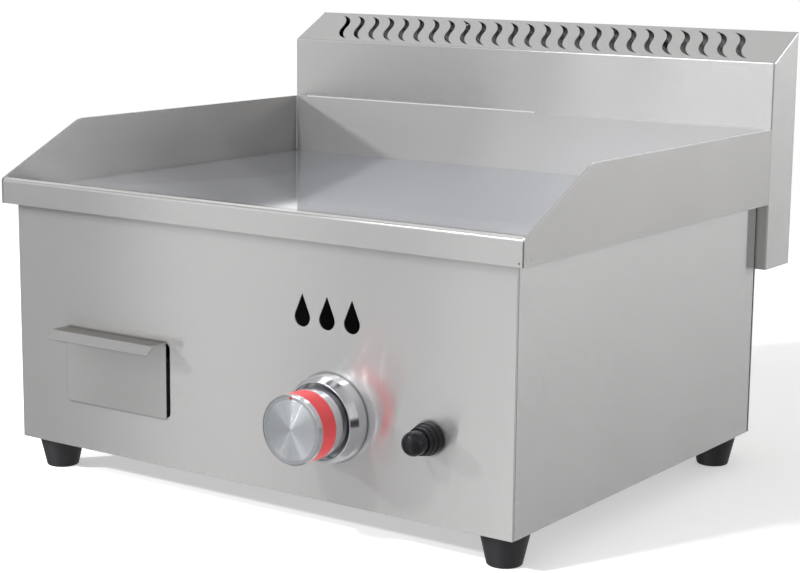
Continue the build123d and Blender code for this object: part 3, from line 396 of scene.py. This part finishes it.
def bridge(mesh, rings):
    """Faces between rings of points."""
    for low, high in zip(rings, rings[1:]):
        for k in range(len(low)):
            after = (k + 1) % len(low)
            mesh.faces.new((low[k], low[after], high[after], high[k]))


def round_bar(mesh, points, radii, sides=10):
    """A straight round bar along points, with a radius at each."""
    along = (points[-1] - points[0]).normalized()
    across = along.orthogonal().normalized()
    aside = along.cross(across)
    turns = [2 * math.pi * k / sides for k in range(sides)]
    rings = []
    for point, radius in zip(points, radii):
        spokes = [math.cos(turn) * across + math.sin(turn) * aside for turn in turns]
        rings.append([mesh.verts.new(point + radius * spoke) for spoke in spokes])
    bridge(mesh, rings)
    mesh.faces.new(rings[0])
    mesh.faces.new(rings[-1])


def weld_bead(mesh, start, end, radius, ripple=0.0018):
    """A rippled bead of weld from start to end, thinner at its ends."""
    count = int((end - start).length / ripple * 4)
    points = [start.lerp(end, k / count) for k in range(count + 1)]
    radii = [radius * (1 + 0.1 * math.cos(math.pi * k / 2)) for k in range(count + 1)]
    radii[0] = radii[-1] = radius / 3
    round_bar(mesh, points, radii)


def add_welds(material):
    """The beads in the guard's rear corners and along the left half of the seam between guard and flue."""
    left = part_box("left_splash")[1].x
    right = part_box("right_splash")[0].x
    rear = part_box("rear_splash")[0].y
    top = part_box("rear_splash")[1].z
    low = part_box("griddle_plate")[1].z
    corner_radius = 0.001
    mesh = bmesh.new()
    for x in (left, right):
        start = Vector((x, rear, low))
        end = Vector((x, rear, top - corner_radius))
        weld_bead(mesh, start, end, corner_radius)
    add_piece("corner_welds", mesh, material)
    seam_radius = 0.0008
    seam_start, seam_end = left + 0.012, 0.022
    start = Vector((seam_start, rear + seam_radius, top))
    end = Vector((seam_end, rear + seam_radius, top))
    mesh = bmesh.new()
    weld_bead(mesh, start, end, seam_radius)
    add_piece("seam_weld", mesh, material)


def add_joint_shade(material):
    """Painted shade: dark bars along the joints between the lip's ends and the side guards."""
    low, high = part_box("front_rim")
    guard_low, guard_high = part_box("right_splash")
    aside = (guard_low.x + guard_high.x) / 2
    front = low.y + 0.0004
    top = high.z - 0.002
    radius, end_radius = 0.0007, 0.0003
    mesh = bmesh.new()
    for x in (-aside, aside):
        start = Vector((x, front, guard_low.z))
        end = Vector((x, front, top))
        points = [start.lerp(end, share) for share in (0, 0.02, 0.98, 1)]
        round_bar(mesh, points, [end_radius, radius, radius, end_radius])
    add_piece("lip_joint_shade", mesh, material)


def add_pins(material):
    """Two ribbed screw ends that reach from the flue's back cover to below its slots."""
    aside, below_top = 0.077, 0.0063
    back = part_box("flue_back")[0].y
    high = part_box("flue_back")[1].z - below_top
    crest, root, tip = 0.0013, 0.0011, 0.0006
    ribs, half_pitch = 16, 0.0005
    mesh = bmesh.new()
    for x in (-aside, aside):
        points = [Vector((x, back - half_pitch * k, high)) for k in range(ribs + 1)]
        radii = [crest if k % 2 else root for k in range(ribs)] + [tip]
        round_bar(mesh, points, radii)
    add_piece("flue_screw_ends", mesh, material)


def add_pit(material):
    """A small pit in the lip near its right end, drawn as a low dark dome whose colour is painted shade."""
    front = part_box("front_rim")[0].y
    place = Vector((0.246, front, 0.225))
    depths = [0.0001, -0.00006, -0.00009, -0.00003]
    radii = [0.0007, 0.00065, 0.0005, 0.0002]
    mesh = bmesh.new()
    round_bar(mesh, [place + Vector((0, shade_grey, 0)) for shade_grey in depths], radii)
    add_piece("lip_pit", mesh, material)


def add_thread(material):
    """The screw thread on the gas inlet behind the rear panel."""
    centre = middle("inlet_fitting")
    bare_start, bare_end = 0.0025, 0.002
    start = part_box("inlet_nut")[1].y + bare_start
    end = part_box("inlet_fitting")[1].y - bare_end
    radius, pitch, steps = 0.01045, 0.001814, 40
    sunk, height, fade = -0.0002, 0.0005, 20
    count = int((end - start) / pitch * steps)
    mesh = bmesh.new()
    rings = []
    for k in range(count + 1):
        turn = 2 * math.pi * k / steps
        crest = height * min(1, k / fade, (count - k) / fade)
        ring = []
        for reach, offset in ((sunk, -0.45), (crest, -0.08), (crest, 0.08), (sunk, 0.45)):
            spoke = Vector((math.cos(turn), 0, math.sin(turn))) * (radius + reach)
            along = start + pitch * (k / steps + offset)
            ring.append(mesh.verts.new(Vector((centre[0], along, centre[2])) + spoke))
        rings.append(ring)
    bridge(mesh, rings)
    add_piece("inlet_thread", mesh, material)


def screw_boxes(node):
    """The box of each separate screw in a CAD node."""
    mesh = bmesh.new()
    mesh.from_mesh(frame["nodes"][node].data)
    bmesh.ops.remove_doubles(mesh, verts=mesh.verts, dist=0.00001)
    left = set(mesh.verts)
    boxes = []
    for first in mesh.verts:
        if first not in left:
            continue
        left.remove(first)
        group = [first]
        for vert in group:
            near = [edge.other_vert(vert) for edge in vert.link_edges]
            fresh = [other for other in near if other in left]
            left.difference_update(fresh)
            group.extend(fresh)
        places = [vert.co.copy() for vert in group]
        boxes.append([Vector([pick(p[axis] for p in places) for axis in range(3)]) for pick in (min, max)])
    mesh.free()
    return boxes


def cross_outline(arm, half):
    """The twelve corners of a cross."""
    corner = [(half, half), (half, arm), (-half, arm)]
    points = []
    for quarter in range(4):
        cosine = math.cos(math.pi / 2 * quarter)
        sine = math.sin(math.pi / 2 * quarter)
        points += [(x * cosine - y * sine, x * sine + y * cosine) for x, y in corner]
    return points


def add_recesses(node, size, material, facing):
    """A cross recess with a raised burr on each screw head of a node, nearly flat and dark with painted
    shade; it faces +Y or -Z.
    """
    mesh = bmesh.new()
    for low, high in screw_boxes(node):
        centre = (low + high) / 2
        rings = []
        for arm, half, height in ((1.0, 0.3, -0.02), (0.94, 0.26, 0.06), (0.84, 0.18, 0.02)):
            ring = []
            for u, v in cross_outline(size * arm, size * half):
                if facing == "+Y":
                    ring.append(mesh.verts.new((centre.x + u, high.y + size * height, centre.z + v)))
                else:
                    ring.append(mesh.verts.new((centre.x + u, centre.y + v, low.z - size * height)))
            rings.append(ring)
        bridge(mesh, rings)
        mesh.faces.new(rings[-1])
    add_piece(node + "_recess", mesh, material)


def add_details():
    """Small things that the CAD leaves out."""
    bead = plain_metal("weld_bead", (0.64, 0.64, 0.62), 0.4, shade_reach=0.0001, satin=0.5)
    # painted shade: the dark colour of the bars along the lip's joints
    seam = plain_metal("joint_shade", (0.16, 0.15, 0.14), 0.45, shade_reach=0.0001, satin=0.5)
    pin = plain_metal("screw_end", (0.85, 0.85, 0.86), 0.3, shade_reach=0.0001, satin=0.4)
    # painted shade: the near-black colour of the screw recesses and the lip's pit stands in for the shade
    # inside them
    dark = plain_metal("recess_shade", (0.1, 0.1, 0.1), 0.5, shade_reach=0.0001)
    add_welds(bead)
    add_joint_shade(seam)
    add_pins(pin)
    add_pit(dark)
    add_thread(plain_metal("thread_brass", (0.72, 0.5, 0.2), 0.3, shade_reach=0.001))
    add_recesses("rear_panel_screws", 0.0021, dark, "+Y")
    add_recesses("flue_screws", 0.0021, dark, "+Y")
    add_recesses("foot_screws", 0.003, dark, "-Z")


def area_light(name, place, size, power, mirrored=True):
    """A square soft box that looks at the object's middle, which metal mirrors or not."""
    data = bpy.data.lights.new(name, "AREA")
    data.shape = "SQUARE"
    data.size = size
    data.energy = power
    light = bpy.data.objects.new(name, data)
    light.visible_glossy = mirrored
    light.location = place
    light.rotation_euler = (LIT_POINT - Vector(place)).to_track_quat("-Z", "Y").to_euler()
    scene.collection.objects.link(light)


def ramp(nodes, compass, stops):
    """A grey that changes along a run of compass directions."""
    node = nodes.add("ShaderNodeValToRGB", {"Fac": compass})
    elements = node.color_ramp.elements
    while len(elements) < len(stops):
        elements.new(0.5)
    for element, (angle, value) in zip(elements, stops):
        element.position = (angle + 180) / 360
        element.color = grey(value)
    return node.outputs["Color"]


# What metal mirrors of the room, by compass direction in degrees from +X
GROUND = [
    (-180, 0.2), (-133.5, 0.2), (-132.7, 0.73), (-128.6, 0.71), (-127.6, 0.32), (-125.6, 0.32),
    (-124.8, 0.78), (-121, 0.8), (-115, 0.8), (-100, 0.8), (-84, 0.4), (-36, 0.3),
    (0, 0.32), (36, 0.36), (90, 0.36), (140, 0.4), (180, 0.2),
]
WALLS = [
    (-180, 0.16), (-134, 0.16), (-132, 0.62), (-128.6, 0.46), (-126.2, 0.4), (-124.8, 0.38),
    (-123.4, 0.36), (-122.9, 0.54), (-122.4, 0.54), (-121.9, 0.26), (-121, 0.26), (-120.2, 0.74),
    (-119.2, 0.76), (-118.6, 0.5), (-117.9, 0.5), (-117, 0.76), (-100, 0.7), (-84, 0.4),
    (-36, 0.3), (0, 0.45), (36, 0.62), (90, 0.62), (140, 0.6), (180, 0.16),
]
WALL_TOPS = [
    (-180, 0.3), (-140, 0.5), (-134, 0.6), (-132, 1.0), (-128, 0.74), (-123, 0.8),
    (-121, 1.1), (-120, 1.45), (-115, 1.55), (-95, 1.0), (-80, 0.4), (-36, 0.3),
    (0, 0.6), (30, 3.3), (80, 3.3), (140, 0.8), (180, 0.3),
]
CEILING = [(-180, 0.25), (-150, 0.4), (-138, 0.65), (152, 0.65), (174, 0.25), (180, 0.25)]

# Where each part of the room gives way to the next, by the upward part of the direction
WALLS_START = (-0.35, -0.1)
WALL_TOPS_START = (0.03, 0.07)
CEILING_START = (0.42, 0.5)


def make_world():
    """A white surround, of which metal mirrors a plain room, with softer light for the rest."""
    world = bpy.data.worlds.new("studio")
    scene.world = world
    world.use_nodes = True
    nodes = Nodes(world.node_tree)
    background = world.node_tree.nodes["Background"]
    path = nodes.add("ShaderNodeLightPath").outputs
    seen = nodes.math("MAXIMUM", path["Is Camera Ray"], path["Is Transmission Ray"])
    direction = nodes.add("ShaderNodeTexCoord").outputs["Generated"]
    toward = nodes.add("ShaderNodeSeparateXYZ", {0: direction}).outputs
    compass = nodes.math("ARCTAN2", toward["Y"], toward["X"])
    compass = nodes.range(compass, -math.pi, math.pi, 0.0, 1.0)
    room = ramp(nodes, compass, GROUND)
    for (low, high), stops in (
        (WALLS_START, WALLS),
        (WALL_TOPS_START, WALL_TOPS),
        (CEILING_START, CEILING),
    ):
        share = nodes.range(toward["Z"], low, high, 0.0, 1.0, smooth=True)
        room = nodes.mix(share, room, ramp(nodes, compass, stops))
    colour = nodes.mix(path["Is Glossy Ray"], grey(0.5), room)
    colour = nodes.mix(seen, colour, grey(1.0))
    nodes.put(background.inputs["Color"], colour)


def make_floor():
    """A round white floor that keeps the object's shadow."""
    bpy.ops.mesh.primitive_circle_add(vertices=128, radius=2.0, fill_type="NGON", location=(0, 0, 0))
    floor = bpy.context.object
    floor.name = "floor"
    floor.visible_glossy = False
    material, nodes, shader = new_material("floor")
    shader.inputs["Base Color"].default_value = (0.9, 0.9, 0.9, 1)
    shader.inputs["Roughness"].default_value = 0.9
    shader.inputs["Specular IOR Level"].default_value = 0.1
    path = nodes.add("ShaderNodeLightPath").outputs
    shader.inputs["Emission Color"].default_value = (1, 1, 1, 1)
    nodes.put(shader.inputs["Emission Strength"], nodes.math("MULTIPLY", path["Is Camera Ray"], 0.4))
    floor.data.materials.append(material)


make_camera()
make_world()
make_floor()
area_light("lamp", (-0.79, -1.07, 1.69), size=0.5, power=5)
area_light("side_lamp", (-0.16, -1.64, 1.49), size=0.3, power=2)
area_light("key", (-0.37, -1.56, 1.45), size=0.12, power=24, mirrored=False)
area_light("window", (-1.43, -1.35, 0.85), size=0.1, power=36, mirrored=False)
dress(make_materials())
add_details()
